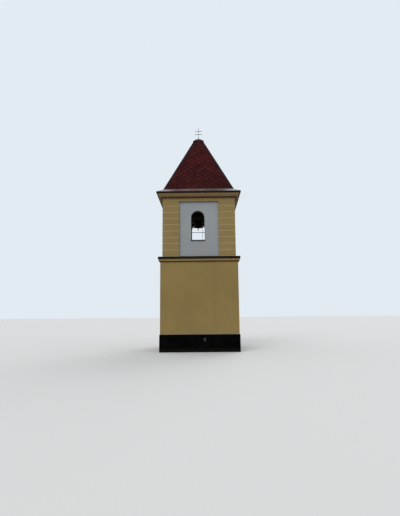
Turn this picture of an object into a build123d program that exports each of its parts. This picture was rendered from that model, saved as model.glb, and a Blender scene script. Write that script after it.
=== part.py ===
from build123d import *

import math
import os

# A village bell tower with a plastered brick shaft and a steep shingled pyramid roof.
# The origin is the centre of the base on the ground, +Z is up and the front faces -Y.
# All lengths are in millimetres.

os.makedirs("parts", exist_ok=True)

# Plinth and lower storey
lower_half = 1750.0
lower_thick = 490.0
lower_wall_high = 3348.0
plinth_proud = 30.0
plinth_high = 762.0
plinth_chamfer = 12.0
ground_floor_thick = 120.0

# Doorway in the back wall, with a boarded leaf in a rebated frame
door_width = 850.0
door_high = 1950.0
door_set_back = 130.0
door_frame_wide = 70.0
door_frame_deep = 110.0
door_rebate = 14.0
door_gap = 3.0
door_leaf_thick = 45.0
ledge_wide = 120.0
ledge_thick = 25.0
ledge_margin = 20.0
hinge_strap_long = 480.0
hinge_strap_wide = 42.0
hinge_strap_thick = 5.0
hinge_knuckle_radius = 8.0
hinge_knuckle_high = 70.0
handle_above_floor = 950.0
handle_inset = 62.0
handle_plate_wide = 38.0
handle_plate_high = 170.0
handle_plate_thick = 3.0
handle_neck_radius = 6.0
handle_radius = 8.0
handle_reach = 46.0
handle_long = 105.0

# String course between the storeys
course_high = 140.0
course_proud = 75.0
course_step = 12.0
course_cove_high = 40.0
course_cove_radius = 56.0
coping_proud = 100.0
coping_edge_high = 100.0
coping_rise = 35.0

# Upper storey, set back from the lower one
upper_set_back = 86.0
upper_thick = 340.0
panel_recess = 80.0
panel_half = 900.0
panel_high = 2690.0
belfry_floor_thick = 130.0

# Grooves in the corner piers
groove_first = 150.0
groove_pitch = 290.7
groove_high = 26.0
groove_deep = 14.0

# Round-headed openings; the front one, the back one and the bell stand left of the tower's axis
belfry_shift = 48.0
front_opening_half = 310.0
back_opening_half = 355.0
sill_rise = 912.0
opening_straight = 1045.0
sill_thick = 50.0
sill_nose = 35.0
sill_ear = 12.0
sill_fall = 12.0

# Frieze, main cornice and eaves
frieze_high = 350.0
cornice_high = 200.0
cornice_step = 14.0
cornice_cove_proud = 131.0
cornice_cove_high = 53.0
cornice_cove_radius = 120.0
cornice_fascia_high = 28.0
cornice_ovolo_proud = 66.0
cornice_ovolo_radius = 95.0
cornice_top_high = 20.0
eave_proud = 266.0
eave_high = 65.0
drip_high = 16.0

# Roof, from the flared metal skirt to the cut top
skirt_run = 318.0
skirt_rise = 185.0
roof_rise = 3010.0
roof_top_half = 190.0
roof_thick = 90.0
hip_wing = 62.0
hip_thick = 12.0
hip_roll_radius = 10.0
cap_overhang = 40.0
cap_edge_high = 26.0
cap_rise = 122.0
cap_tip_half = 32.0
socket_radius = 24.0
socket_high = 46.0

# Cross on the roof, measured from the top of its socket
cross_bar = 16.0
cross_high = 574.0
cross_lower_rise = 219.0
cross_lower_half = 188.0
cross_upper_rise = 388.0
cross_upper_half = 170.0

# Bell, measured from its lip, hanging below a shaft along Y
bell_axis_drop = 340.0
bell_hang = 530.0
mouth_radius = 260.0
lip_wide = 18.0
lip_bevel = 9.0
bow_thick = 31.0
bow_high = 34.0
bell_wall = 17.0
waist_radius = 540.0
shoulder_radius = 132.0
shoulder_high = 322.0
crown_radius = 84.0
crown_fall = 6.0
bell_high = 385.0
bead_high = 9.0
bead_proud = 4.0
bead_shares = (0.13, 0.2, 0.86)
boss_radius = 42.0
boss_plate_radius = 62.0
boss_plate_thick = 25.0

# Headstock, the straps that hold the bell to it, and its gudgeons
headstock_wide = 120.0
headstock_high = 120.0
headstock_half = 325.0
headstock_chamfer = 10.0
strap_offset = 45.0
strap_wide = 40.0
strap_thick = 6.0
strap_foot = 24.0
gudgeon_radius = 18.0
gudgeon_clearance = 0.08
gudgeon_end = 12.0
gudgeon_plate = 88.0
gudgeon_plate_thick = 10.0

# Bell beams and the bearings on them
beam_offset = 400.0
beam_wide = 120.0
beam_high = 160.0
beam_bearing = 120.0
bearing_wide = 110.0
bearing_deep = 84.0
bearing_below = 60.0
bearing_above = 48.0
bearing_foot_wide = 190.0
bearing_foot_high = 18.0

# Clapper, swinging about a pin along Y inside the bell
pin_height = 315.0
pin_radius = 7.0
pin_clearance = 0.1
eye_radius = 20.0
eye_half = 7.0
lug_half = 15.0
lug_gap = 9.5
lug_thick = 10.0
ball_height = 26.0
ball_radius = 31.0
rod_radius = 8.0
flight_drop = 170.0
flight_radius = 12.0
flight_high = 60.0

# Lever and bell rope
lever_reach = 210.0
lever_offset = 300.0
lever_wide = 36.0
lever_thick = 10.0
rope_radius = 8.0
rope_end_height = 1300.0
rope_hole_radius = 36.0
knot_radius = 26.0

# Vent cover on the front of the plinth
vent_offset = 223.0
vent_height = 544.0
vent_wide = 96.0
vent_tall = 142.0
vent_corner = 16.0
vent_proud = 15.0
vent_bevel = 5.0
vent_slot_wide = 62.0
vent_slot_high = 9.0
vent_slot_pitch = 24.0
vent_slot_count = 4
vent_slot_deep = 8.0

# Levels and half widths that follow from the sizes above
lower_inner = lower_half - lower_thick
plinth_half = lower_half + plinth_proud
masonry_joint = plinth_high + lower_wall_high
upper_half = lower_half - upper_set_back
upper_inner = upper_half - upper_thick
panel_face = upper_half - panel_recess
panel_top = masonry_joint + panel_high
sill_top = masonry_joint + sill_rise
spring_level = sill_top + opening_straight
wall_top = panel_top + frieze_high
eave_half = upper_half + eave_proud
eave_top = wall_top + eave_high
roof_foot_half = eave_half - skirt_run
roof_foot = eave_top + skirt_rise
roof_top = roof_foot + roof_rise
cap_half = roof_top_half + cap_overhang
cap_peak = roof_top + cap_edge_high + cap_rise + socket_high

# The roof's run for each millimetre of rise, and where its slabs sit on the eaves
roof_slope = (roof_foot_half - roof_top_half) / roof_rise
roof_thick_level = roof_thick * math.hypot(1, roof_slope)
roof_seat_half = roof_foot_half + skirt_rise * roof_slope

sides = {"front": 0, "right": 90, "back": 180, "left": 270}
opening_halves = {
    "front": front_opening_half,
    "right": front_opening_half,
    "back": back_opening_half,
    "left": front_opening_half,
}
opening_middles = {"front": -belfry_shift, "right": 0, "back": belfry_shift, "left": 0}
corners = ("front_left", "front_right", "back_right", "back_left")

# Sections through the front are drawn as (distance from the tower's axis, height)
section_plane = Plane(origin=(0, 0, 0), x_dir=(0, -1, 0), z_dir=(-1, 0, 0))


def finish(part, name):
    part.label = name
    export_step(part, f"parts/{name}.step")


def swept_round(section, half):
    """Sweeps a section round the tower on a square of that half width, mitred at the corners."""
    with BuildPart() as ring:
        with BuildLine() as path:
            Polyline((0, -half), (-half, -half), (-half, half), (half, half), (half, -half), (0, -half))
        sweep(section, path=path.wires()[0], transition=Transition.RIGHT)
    return ring.part


def mitred_ring(points):
    """A ring round the tower with straight faces between the points of its section."""
    with BuildSketch(section_plane) as section:
        with BuildLine():
            Polyline(points, close=True)
        make_face()
    return swept_round(section.sketch, points[0][0])


# Plinth, with the doorway cut through its back above the ground floor
with BuildPart() as plinth:
    with BuildSketch():
        Rectangle(2 * plinth_half, 2 * plinth_half)
        Rectangle(2 * lower_inner, 2 * lower_inner, mode=Mode.SUBTRACT)
    extrude(amount=plinth_high)
    rim = plinth.faces().sort_by(Axis.Z)[-1].outer_wire().edges()
    chamfer(rim, length=plinth_chamfer)
    with BuildSketch(Plane.XY.offset(ground_floor_thick)):
        with Locations((0, lower_half)):
            Rectangle(door_width, 3 * lower_thick)
    extrude(amount=plinth_high, mode=Mode.SUBTRACT)
finish(plinth.part, "plinth")

with BuildPart() as ground_floor:
    with BuildSketch():
        Rectangle(2 * lower_inner, 2 * lower_inner)
    extrude(amount=ground_floor_thick)
finish(ground_floor.part, "ground_floor")

# Lower walls, the front and back ones running past the ends of the side ones
door_top = ground_floor_thick + door_high
for name, turn in sides.items():
    run = lower_half if name in ("front", "back") else lower_inner
    with BuildPart() as lower_wall:
        with BuildSketch(Plane.XY.offset(plinth_high)):
            with Locations((0, -lower_half)):
                Rectangle(2 * run, lower_thick, align=(Align.CENTER, Align.MIN))
        extrude(amount=lower_wall_high)
        if name == "back":
            with BuildSketch(Plane.XY.offset(plinth_high)):
                with Locations((0, -lower_half)):
                    Rectangle(door_width, 3 * lower_thick)
            extrude(amount=door_top - plinth_high, mode=Mode.SUBTRACT)
    finish(lower_wall.part.rotate(Axis.Z, turn), f"lower_wall_{name}")

# Door frame with a rebate on its outer face, drawn on a plane that looks into the tower
door_plane = Plane(origin=(0, lower_half - door_set_back, 0), x_dir=(1, 0, 0), z_dir=(0, -1, 0))
clear_half = door_width / 2 - door_frame_wide
clear_top = door_top - door_frame_wide
above_floor = (Align.CENTER, Align.MIN)
with BuildPart() as door_frame:
    with BuildSketch(door_plane):
        with Locations((0, ground_floor_thick)):
            Rectangle(door_width, door_high, align=above_floor)
            Rectangle(2 * clear_half, clear_top - ground_floor_thick, align=above_floor, mode=Mode.SUBTRACT)
    extrude(amount=door_frame_deep)
    with BuildSketch(door_plane):
        with Locations((0, ground_floor_thick)):
            Rectangle(
                2 * (clear_half + door_rebate),
                clear_top + door_rebate - ground_floor_thick,
                align=above_floor,
            )
    extrude(amount=door_leaf_thick, mode=Mode.SUBTRACT)
finish(door_frame.part, "door_frame")

# Door leaf, flush with the frame and closed against the rebate, and the ledges behind its boards
leaf_half = clear_half + door_rebate - door_gap
leaf_foot = ground_floor_thick + door_gap
leaf_high = clear_top + door_rebate - door_gap - leaf_foot
with BuildPart() as door_leaf:
    with BuildSketch(door_plane):
        with Locations((0, leaf_foot)):
            Rectangle(2 * leaf_half, leaf_high, align=above_floor)
    extrude(amount=door_leaf_thick)
finish(door_leaf.part, "door_leaf")

with BuildPart() as door_ledges:
    with BuildSketch(door_plane.offset(door_leaf_thick)):
        for share in (1 / 8, 1 / 2, 7 / 8):
            with Locations((0, leaf_foot + share * leaf_high)):
                Rectangle(2 * (clear_half - ledge_margin), ledge_wide)
    extrude(amount=ledge_thick)
finish(door_ledges.part, "door_ledges")

# Strap hinges, level with the outer ledges, each with its knuckle at the edge of the leaf
with BuildPart() as door_hinges:
    for share in (1 / 8, 7 / 8):
        level = leaf_foot + share * leaf_high
        with BuildSketch(door_plane):
            with Locations((leaf_half, level)):
                Rectangle(hinge_strap_long, hinge_strap_wide, align=(Align.MAX, Align.CENTER))
                Rectangle(door_frame_wide / 2, hinge_strap_wide, align=(Align.MIN, Align.CENTER))
            with Locations((leaf_half - hinge_strap_long, level)):
                Circle(hinge_strap_wide / 2)
        extrude(amount=-hinge_strap_thick)
        knuckle_foot = (leaf_half, lower_half - door_set_back + hinge_knuckle_radius)
        with BuildSketch(Plane.XY.offset(level - hinge_knuckle_high / 2)):
            with Locations(knuckle_foot):
                Circle(hinge_knuckle_radius)
        extrude(amount=hinge_knuckle_high)
finish(door_hinges.part, "door_hinges")

# Door handle on its plate, near the edge away from the hinges
handle_level = ground_floor_thick + handle_above_floor
handle_middle = -leaf_half + handle_inset
with BuildPart() as door_handle:
    with BuildSketch(door_plane):
        with Locations((handle_middle, handle_level)):
            RectangleRounded(handle_plate_wide, handle_plate_high, handle_radius)
    extrude(amount=-handle_plate_thick)
    with BuildSketch(door_plane):
        with Locations((handle_middle, handle_level)):
            Circle(handle_neck_radius)
    extrude(amount=-handle_reach)
    with BuildSketch(Plane.YZ.offset(handle_middle - 2 * handle_neck_radius)):
        with Locations((lower_half - door_set_back + handle_reach, handle_level)):
            Circle(handle_radius)
    extrude(amount=handle_long)
finish(door_handle.part, "door_handle")

# String course: a small step and a cove under a plain band
course_foot = masonry_joint - course_high
course_band = course_foot + course_step + course_cove_high
with BuildSketch(section_plane) as course_section:
    with BuildLine():
        Polyline(
            (lower_half, course_foot),
            (lower_half + course_step, course_foot),
            (lower_half + course_step, course_foot + course_step),
        )
        RadiusArc(
            (lower_half + course_step, course_foot + course_step),
            (lower_half + course_proud, course_band),
            course_cove_radius,
        )
        Polyline(
            (lower_half + course_proud, course_band),
            (lower_half + course_proud, masonry_joint),
            (lower_half, masonry_joint),
            (lower_half, course_foot),
        )
    make_face()
finish(swept_round(course_section.sketch, lower_half), "string_course")

# Sloping coping over the string course, up to the foot of the upper walls
finish(
    mitred_ring(
        [
            (upper_half, masonry_joint),
            (lower_half + coping_proud, masonry_joint),
            (lower_half + coping_proud, masonry_joint + coping_edge_high),
            (upper_half, masonry_joint + coping_edge_high + coping_rise),
        ]
    ),
    "string_course_coping",
)

# Corner piers, with grooves round their two outer faces
pier_wide = upper_half - panel_half
groove_count = int((panel_high - groove_first) // groove_pitch) + 1
groove_out = upper_half + groove_deep
with BuildPart() as pier:
    with BuildSketch(Plane.XY.offset(masonry_joint)):
        with Locations((-upper_half, -upper_half)):
            Rectangle(pier_wide, pier_wide, align=(Align.MIN, Align.MIN))
        with Locations((-upper_inner, -upper_inner)):
            Rectangle(pier_wide, pier_wide, align=(Align.MIN, Align.MIN), mode=Mode.SUBTRACT)
    extrude(amount=panel_high)
    for face_plane, inward in ((Plane.YZ.offset(-groove_out), 1), (Plane.XZ.offset(groove_out), -1)):
        with BuildSketch(face_plane):
            for step in range(groove_count):
                level = masonry_joint + groove_first + step * groove_pitch
                with BuildLine():
                    Polyline(
                        (-groove_out, level - groove_high),
                        (-upper_half + groove_deep, level),
                        (-groove_out, level + groove_high),
                        close=True,
                    )
                make_face()
        extrude(amount=inward * (pier_wide + 2 * groove_deep), mode=Mode.SUBTRACT)
for index, name in enumerate(corners):
    finish(pier.part.rotate(Axis.Z, 90 * index), f"corner_pier_{name}")

# Recessed panel walls with the round-headed openings, and pockets for the bell beams
bell_axis = panel_top - bell_axis_drop
beam_top = bell_axis - bearing_below
for name, turn in sides.items():
    half = opening_halves[name]
    with BuildPart() as panel:
        with BuildSketch(Plane.XZ.offset(upper_inner)):
            with Locations((0, masonry_joint)):
                Rectangle(2 * panel_half, panel_high, align=(Align.CENTER, Align.MIN))
            with Locations((opening_middles[name], spring_level)):
                opening_high = opening_straight + sill_thick
                Rectangle(2 * half, opening_high, align=(Align.CENTER, Align.MAX), mode=Mode.SUBTRACT)
                Circle(half, mode=Mode.SUBTRACT)
        extrude(amount=panel_face - upper_inner)
        if name in ("left", "right"):
            with BuildSketch(Plane.XZ.offset(upper_inner)):
                with Locations((-beam_offset, beam_top), (beam_offset, beam_top)):
                    Rectangle(beam_wide, beam_high, align=(Align.CENTER, Align.MAX))
            extrude(amount=beam_bearing, mode=Mode.SUBTRACT)
    finish(panel.part.rotate(Axis.Z, turn), f"panel_wall_{name}")

# Sills, one to each opening, falling outwards to a nose that runs past the jambs
with BuildPart() as sills:
    for name, turn in sides.items():
        half = opening_halves[name]
        sill_foot = sill_top - sill_thick
        nose_out = panel_face + sill_nose
        with BuildPart(mode=Mode.PRIVATE) as sill:
            with BuildSketch(section_plane):
                with BuildLine():
                    Polyline(
                        (upper_inner, sill_foot),
                        (panel_face, sill_foot),
                        (panel_face, sill_top - sill_fall),
                        (upper_inner, sill_top),
                        close=True,
                    )
                make_face()
            extrude(amount=half, both=True)
            with BuildSketch(section_plane):
                with BuildLine():
                    Polyline(
                        (panel_face, sill_foot),
                        (nose_out, sill_foot),
                        (nose_out, sill_top - 2 * sill_fall),
                        (panel_face, sill_top - sill_fall),
                        close=True,
                    )
                make_face()
            extrude(amount=half + sill_ear, both=True)
        add(sill.part.translate((opening_middles[name], 0, 0)).rotate(Axis.Z, turn))
finish(sills.part, "window_sills")

# Frieze over the piers and panels
finish(
    mitred_ring(
        [
            (upper_half, panel_top),
            (upper_half, wall_top),
            (upper_inner, wall_top),
            (upper_inner, panel_top),
        ]
    ),
    "frieze",
)

# Main cornice: a step, a flat cove, a narrow band and an ovolo under the eaves
cornice_foot = wall_top - cornice_high
cove_out = upper_half + cornice_cove_proud
cove_top = cornice_foot + cornice_cove_high
band_top = cove_top + cornice_fascia_high
ovolo_out = cove_out + cornice_ovolo_proud
ovolo_top = wall_top - cornice_top_high
with BuildSketch(section_plane) as cornice_section:
    with BuildLine():
        Polyline(
            (upper_half, cornice_foot),
            (upper_half + cornice_step, cornice_foot),
            (upper_half + cornice_step, cornice_foot + cornice_step),
        )
        RadiusArc(
            (upper_half + cornice_step, cornice_foot + cornice_step),
            (cove_out, cove_top),
            cornice_cove_radius,
        )
        Line((cove_out, cove_top), (cove_out, band_top))
        RadiusArc((cove_out, band_top), (ovolo_out, ovolo_top), -cornice_ovolo_radius)
        Polyline(
            (ovolo_out, ovolo_top),
            (ovolo_out, wall_top),
            (upper_half, wall_top),
            (upper_half, cornice_foot),
        )
    make_face()
finish(swept_round(cornice_section.sketch, upper_half), "main_cornice")

# Eave board with a drip along its lower edge, and the metal skirt that rises from it to the roof
roof_inside_half = roof_seat_half - roof_thick_level
finish(
    mitred_ring(
        [
            (roof_inside_half, wall_top),
            (eave_half - drip_high, wall_top),
            (eave_half - drip_high, wall_top + drip_high),
            (eave_half, wall_top + drip_high / 2),
            (eave_half, eave_top),
            (roof_inside_half, eave_top),
        ]
    ),
    "eave_board",
)
finish(
    mitred_ring(
        [
            (roof_seat_half, eave_top),
            (eave_half, eave_top),
            (roof_foot_half, roof_foot),
        ]
    ),
    "metal_skirt",
)

# Four roof slopes, mitred along the hips
with BuildPart() as slope:
    with BuildSketch(section_plane):
        with BuildLine():
            Polyline(
                (roof_seat_half, eave_top),
                (roof_top_half, roof_top),
                (roof_top_half - roof_thick_level, roof_top),
                (roof_inside_half, eave_top),
                close=True,
            )
        make_face()
    extrude(amount=roof_seat_half, both=True)
    split(bisect_by=Plane(origin=(0, 0, 0), z_dir=(1, 1, 0)), keep=Keep.BOTTOM)
    split(bisect_by=Plane(origin=(0, 0, 0), z_dir=(-1, 1, 0)), keep=Keep.BOTTOM)
for name, turn in sides.items():
    finish(slope.part.rotate(Axis.Z, turn), f"roof_slope_{name}")

# Hip caps: sheet folded over each hip, with a roll along the fold
hip_foot = Vector(-roof_foot_half, -roof_foot_half, roof_foot)
hip_head = Vector(-roof_top_half, -roof_top_half, roof_top)
hip_run = hip_head - hip_foot
hip_plane = Plane(origin=hip_foot, x_dir=(-1, 1, 0), z_dir=hip_run)
front_normal = Vector(0, -1, roof_slope).normalized()
tilt_x = abs(front_normal.dot(hip_plane.x_dir))
tilt_y = front_normal.dot(hip_plane.y_dir)
wing_x = hip_wing * tilt_y
wing_y = -hip_wing * tilt_x
with BuildPart() as hip:
    with BuildSketch(hip_plane.offset(-hip_wing)):
        with BuildLine():
            Polyline(
                (0, 0),
                (wing_x, wing_y),
                (wing_x + hip_thick * tilt_x, wing_y + hip_thick * tilt_y),
                (0, hip_thick / tilt_y),
                (-wing_x - hip_thick * tilt_x, wing_y + hip_thick * tilt_y),
                (-wing_x, wing_y),
                close=True,
            )
        make_face()
        with Locations((0, hip_roll_radius / tilt_y)):
            Circle(hip_roll_radius)
    extrude(amount=hip_run.length + 2 * hip_wing)
    split(bisect_by=Plane.XY.offset(roof_top), keep=Keep.BOTTOM)
    split(bisect_by=Plane.XY.offset(roof_foot), keep=Keep.TOP)
with BuildPart() as hip_caps:
    for index in range(len(corners)):
        add(hip.part.rotate(Axis.Z, 90 * index))
finish(hip_caps.part, "hip_caps")

# Cap over the cut top of the pyramid, with the socket of the cross
cap_shoulder = roof_top + cap_edge_high
with BuildPart() as roof_cap:
    with BuildSketch(Plane.XY.offset(roof_top)):
        Rectangle(2 * cap_half, 2 * cap_half)
    extrude(amount=cap_edge_high)
    with BuildSketch(Plane.XY.offset(cap_shoulder)):
        Rectangle(2 * cap_half, 2 * cap_half)
    with BuildSketch(Plane.XY.offset(cap_shoulder + cap_rise)):
        Rectangle(2 * cap_tip_half, 2 * cap_tip_half)
    loft(ruled=True)
    with BuildSketch(Plane.XY.offset(cap_shoulder + cap_rise)):
        Circle(socket_radius)
    extrude(amount=socket_high)
finish(roof_cap.part, "roof_cap")

# Cross with two bars
with BuildPart() as cross:
    with BuildSketch(Plane.XY.offset(cap_peak)):
        Rectangle(cross_bar, cross_bar)
    extrude(amount=cross_high)
    for rise, half in ((cross_lower_rise, cross_lower_half), (cross_upper_rise, cross_upper_half)):
        with BuildSketch(Plane.YZ):
            with Locations((0, cap_peak + rise)):
                Rectangle(cross_bar, cross_bar)
        extrude(amount=half, both=True)
finish(cross.part, "roof_cross")

# Belfry floor, bearing on the ledge of the lower walls, with the rope hole
with BuildPart() as belfry_floor:
    with BuildSketch(Plane.XY.offset(masonry_joint)):
        Rectangle(2 * upper_inner, 2 * upper_inner)
        with Locations((lever_reach - belfry_shift, lever_offset)):
            Circle(rope_hole_radius, mode=Mode.SUBTRACT)
    extrude(amount=belfry_floor_thick)
finish(belfry_floor.part, "belfry_floor")

# Bell beams, let into the left and right walls
with BuildPart() as bell_beams:
    with BuildSketch(Plane.YZ):
        with Locations((-beam_offset, beam_top), (beam_offset, beam_top)):
            Rectangle(beam_wide, beam_high, align=(Align.CENTER, Align.MAX))
    extrude(amount=upper_inner + beam_bearing, both=True)
finish(bell_beams.part, "bell_beams")

# Bearings: a foot on the beam, a block and a round head about the gudgeon
with BuildPart() as bearings:
    with BuildSketch(Plane.XZ):
        with Locations((0, beam_top)):
            Rectangle(bearing_foot_wide, bearing_foot_high, align=(Align.CENTER, Align.MIN))
            Rectangle(bearing_wide, bearing_below, align=(Align.CENTER, Align.MIN))
        with Locations((0, bell_axis)):
            Circle(bearing_above)
            Circle(gudgeon_radius + gudgeon_clearance, mode=Mode.SUBTRACT)
    extrude(amount=beam_offset + bearing_deep / 2, both=True)
    with BuildSketch(Plane.XZ):
        with Locations((0, bell_axis)):
            Rectangle(2 * bearing_foot_wide, 2 * bearing_foot_wide)
    extrude(amount=beam_offset - bearing_deep / 2, both=True, mode=Mode.SUBTRACT)
finish(bearings.part.translate((-belfry_shift, 0, 0)), "shaft_bearings")

# Headstock, with the iron gudgeons on its ends
with BuildPart() as headstock:
    with BuildSketch(Plane.XZ):
        with Locations((0, bell_axis)):
            Rectangle(headstock_wide, headstock_high)
    extrude(amount=headstock_half, both=True)
    chamfer(headstock.edges().filter_by(Axis.Y), length=headstock_chamfer)
finish(headstock.part.translate((-belfry_shift, 0, 0)), "headstock")

with BuildPart() as gudgeons:
    for outward in (1, -1):
        end_plane = Plane.XZ.offset(outward * headstock_half)
        with BuildSketch(end_plane):
            with Locations((0, bell_axis)):
                Rectangle(gudgeon_plate, gudgeon_plate)
        extrude(amount=outward * gudgeon_plate_thick)
        with BuildSketch(end_plane):
            with Locations((0, bell_axis)):
                Circle(gudgeon_radius)
        extrude(amount=outward * (beam_offset + bearing_deep / 2 + gudgeon_end - headstock_half))
finish(gudgeons.part.translate((-belfry_shift, 0, 0)), "headstock_gudgeons")

# Bell, turned from its profile, with the clapper's lugs and pin inside its crown
lip_level = bell_axis - bell_hang
boss_top = bell_hang - headstock_high / 2
crown_inside = bell_high - crown_fall - bell_wall
inner_crown_radius = crown_radius - bell_wall
inner_shoulder_high = shoulder_high - bell_wall
with BuildPart() as bell:
    with BuildSketch(Plane.XZ):
        with BuildLine():
            lip = Line((mouth_radius - lip_wide, 0), (mouth_radius - lip_bevel, 0))
            lip_edge = Line(lip @ 1, (mouth_radius, lip_bevel))
            waist = RadiusArc(lip_edge @ 1, (shoulder_radius, shoulder_high), waist_radius)
            crown_edge = (crown_radius, bell_high - crown_fall)
            TangentArc(waist @ 1, crown_edge, tangent=waist % 1)
            Polyline(
                crown_edge,
                (boss_radius, bell_high),
                (boss_radius, boss_top - boss_plate_thick),
                (boss_plate_radius, boss_top - boss_plate_thick),
                (boss_plate_radius, boss_top),
                (0, boss_top),
                (0, crown_inside),
                (inner_crown_radius, crown_inside),
                (shoulder_radius - bell_wall, inner_shoulder_high),
            )
            RadiusArc(
                (shoulder_radius - bell_wall, inner_shoulder_high),
                (mouth_radius - bow_thick, bow_high),
                -waist_radius,
            )
            Line((mouth_radius - bow_thick, bow_high), (mouth_radius - lip_wide, 0))
        make_face()
        for share in bead_shares:
            with Locations(waist @ share):
                Rectangle(2 * bead_proud, bead_high)
    revolve(axis=Axis.Z)
    lug_high = crown_inside + bell_wall / 2 - pin_height + lug_half
    with BuildSketch(Plane.XZ):
        with Locations((0, pin_height - lug_half)):
            Rectangle(2 * lug_half, lug_high, align=(Align.CENTER, Align.MIN))
    extrude(amount=lug_gap + lug_thick, both=True)
    with BuildSketch(Plane.XZ):
        with Locations((0, pin_height - lug_half)):
            Rectangle(3 * lug_half, crown_inside - pin_height + lug_half, align=(Align.CENTER, Align.MIN))
    extrude(amount=lug_gap, both=True, mode=Mode.SUBTRACT)
    with BuildSketch(Plane.XZ):
        with Locations((0, pin_height)):
            Circle(pin_radius)
    extrude(amount=lug_gap + lug_thick / 2, both=True)
finish(bell.part.translate((-belfry_shift, 0, lip_level)), "bell")

# Straps over the headstock, turned in under the plate of the bell's head
strap_inner = headstock_wide / 2
strap_outer = strap_inner + strap_thick
strap_roof = bell_axis + headstock_high / 2
foot_top = bell_axis - headstock_high / 2 - boss_plate_thick
with BuildPart() as straps:
    for offset in (-strap_offset, strap_offset):
        with BuildSketch(Plane.XZ.offset(offset - strap_wide / 2)):
            with BuildLine():
                Polyline(
                    (-strap_outer, foot_top - strap_thick),
                    (-strap_outer, strap_roof + strap_thick),
                    (strap_outer, strap_roof + strap_thick),
                    (strap_outer, foot_top - strap_thick),
                    (strap_inner - strap_foot, foot_top - strap_thick),
                    (strap_inner - strap_foot, foot_top),
                    (strap_inner, foot_top),
                    (strap_inner, strap_roof),
                    (-strap_inner, strap_roof),
                    (-strap_inner, foot_top),
                    (-strap_inner + strap_foot, foot_top),
                    (-strap_inner + strap_foot, foot_top - strap_thick),
                    close=True,
                )
            make_face()
        extrude(amount=strap_wide)
finish(straps.part.translate((-belfry_shift, 0, 0)), "headstock_straps")

# Clapper with its eye, ball and flight
with BuildPart() as clapper:
    with BuildSketch(Plane.XZ):
        with BuildLine():
            Polyline(
                (0, -flight_drop),
                (flight_radius, -flight_drop),
                (rod_radius, -flight_drop + flight_high),
                (rod_radius, pin_height - eye_radius / 2),
                (0, pin_height - eye_radius / 2),
                close=True,
            )
        make_face()
    revolve(axis=Axis.Z)
    with Locations((0, 0, ball_height)):
        Sphere(ball_radius)
    with BuildSketch(Plane.XZ):
        with Locations((0, pin_height)):
            Circle(eye_radius)
    extrude(amount=eye_half, both=True)
    with BuildSketch(Plane.XZ):
        with Locations((0, pin_height)):
            Circle(pin_radius + pin_clearance)
    extrude(amount=eye_radius, both=True, mode=Mode.SUBTRACT)
finish(clapper.part.translate((-belfry_shift, 0, lip_level)), "clapper")

# Lever across the headstock, with the bell rope hanging from its end
lever_seat = bell_axis + headstock_high / 2
lever_middle = (lever_reach - headstock_wide / 2) / 2
with BuildPart() as lever:
    with BuildSketch(Plane.XY.offset(lever_seat)):
        with Locations((lever_middle, lever_offset)):
            SlotOverall(lever_reach + headstock_wide / 2 + lever_wide, lever_wide)
    extrude(amount=lever_thick)
finish(lever.part.translate((-belfry_shift, 0, 0)), "bell_lever")

with BuildPart() as rope:
    with BuildSketch(Plane.XY.offset(rope_end_height)):
        with Locations((lever_reach, lever_offset)):
            Circle(rope_radius)
    extrude(amount=lever_seat - rope_end_height)
finish(rope.part.translate((-belfry_shift, 0, 0)), "bell_rope")

knot_plane = Plane(origin=(lever_reach, lever_offset, rope_end_height), x_dir=(1, 0, 0), z_dir=(0, -1, 0))
with BuildPart() as knot:
    with BuildSketch(knot_plane):
        with BuildLine():
            Polyline(
                (0, 0),
                (rope_radius, 0),
                (knot_radius, -knot_radius),
                (knot_radius, -2 * knot_radius),
                (rope_radius, -3 * knot_radius),
                (0, -3 * knot_radius),
                close=True,
            )
        make_face()
    revolve(axis=Axis((lever_reach, lever_offset, 0), (0, 0, 1)))
finish(knot.part.translate((-belfry_shift, 0, 0)), "rope_knot")

# Small vent cover on the front of the plinth
with BuildPart() as vent:
    with BuildSketch(Plane.XZ.offset(plinth_half)):
        with Locations((vent_offset, vent_height)):
            RectangleRounded(vent_wide, vent_tall, vent_corner)
    extrude(amount=vent_proud)
    chamfer(vent.faces().sort_by(Axis.Y)[0].edges(), length=vent_bevel)
    with BuildSketch(Plane.XZ.offset(plinth_half + vent_proud)):
        with Locations((vent_offset, vent_height)):
            with GridLocations(vent_wide, vent_slot_pitch, 1, vent_slot_count):
                SlotOverall(vent_slot_wide, vent_slot_high)
    extrude(amount=-vent_slot_deep, mode=Mode.SUBTRACT)
finish(vent.part, "plinth_vent")
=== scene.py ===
import math
import random

import bmesh
import bpy
from mathutils import Matrix, Vector


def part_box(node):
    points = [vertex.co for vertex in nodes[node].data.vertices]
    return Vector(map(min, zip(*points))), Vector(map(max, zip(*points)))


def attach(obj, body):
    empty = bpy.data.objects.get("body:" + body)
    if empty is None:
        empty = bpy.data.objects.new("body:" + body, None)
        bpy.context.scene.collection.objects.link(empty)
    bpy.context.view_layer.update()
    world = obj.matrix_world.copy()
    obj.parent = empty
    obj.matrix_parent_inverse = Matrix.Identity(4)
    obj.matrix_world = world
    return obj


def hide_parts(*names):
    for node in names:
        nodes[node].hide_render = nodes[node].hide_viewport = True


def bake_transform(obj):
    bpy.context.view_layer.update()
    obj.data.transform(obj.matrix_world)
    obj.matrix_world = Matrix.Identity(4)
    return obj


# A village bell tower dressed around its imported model. All lengths are in metres but the sensor's.
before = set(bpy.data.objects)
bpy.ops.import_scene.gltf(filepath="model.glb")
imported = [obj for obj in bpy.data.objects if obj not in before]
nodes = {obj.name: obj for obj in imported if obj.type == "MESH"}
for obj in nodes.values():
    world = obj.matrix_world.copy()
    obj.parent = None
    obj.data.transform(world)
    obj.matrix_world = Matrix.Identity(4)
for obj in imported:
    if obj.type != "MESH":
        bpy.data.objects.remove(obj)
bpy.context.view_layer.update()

# Sides, with the degrees that turn the front to each, and corners
turns = {"front": 0, "right": 90, "back": 180, "left": 270}
corners = ("front_left", "front_right", "back_right", "back_left")

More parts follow.
